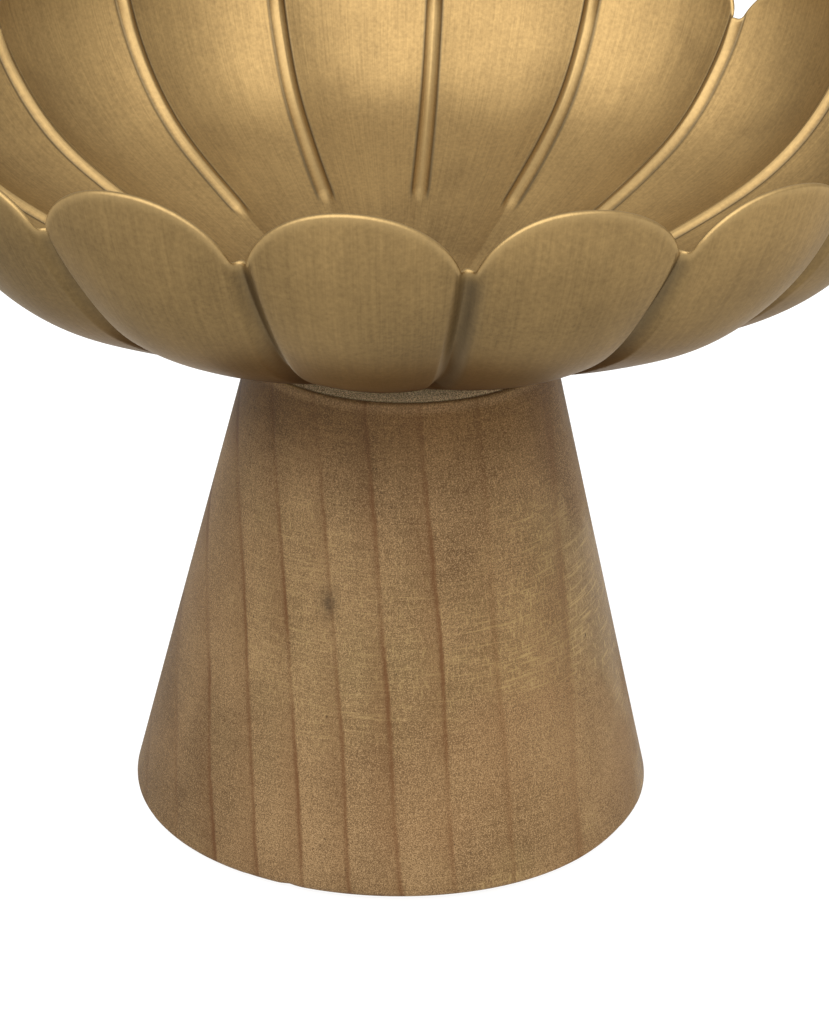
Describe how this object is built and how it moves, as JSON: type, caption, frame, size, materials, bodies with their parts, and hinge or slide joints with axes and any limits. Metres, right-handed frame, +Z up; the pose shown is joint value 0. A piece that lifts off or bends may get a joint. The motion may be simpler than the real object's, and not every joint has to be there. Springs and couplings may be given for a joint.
{
  "type": "baptismal font",
  "caption": "Tabletop font: shallow petalled bowl of pressed antique brass on a turned wooden truncated-cone pedestal, clamped from below by a stud and nut.",
  "frame": {"origin": "on the vertical centre line, at the level of the surface that the felt pads stand on", "axes": "+Z up along the turned axis of the pedestal and bowl; -Y is the side seen from the front, +X is to its right"},
  "size_m": [0.2863, 0.287, 0.217],
  "materials": {
    "antique_brass": "brushed and aged, polished along the petals' free edges",
    "turned_wood": "satin, straight grain with fine pores and lathe marks",
    "zinc_steel": "zinc plated",
    "felt": "dense dark felt"
  },
  "bodies": {
    "root": {"bowl": "antique_brass", "pedestal": "turned_wood", "mount_plate": "zinc_steel", "threaded_stud": "zinc_steel", "fender_washer": "zinc_steel", "spring_washer": "zinc_steel", "hex_nut": "zinc_steel", "felt_pad_1": "felt", "felt_pad_2": "felt", "felt_pad_3": "felt", "felt_pad_4": "felt"}
  },
  "joints": []
}
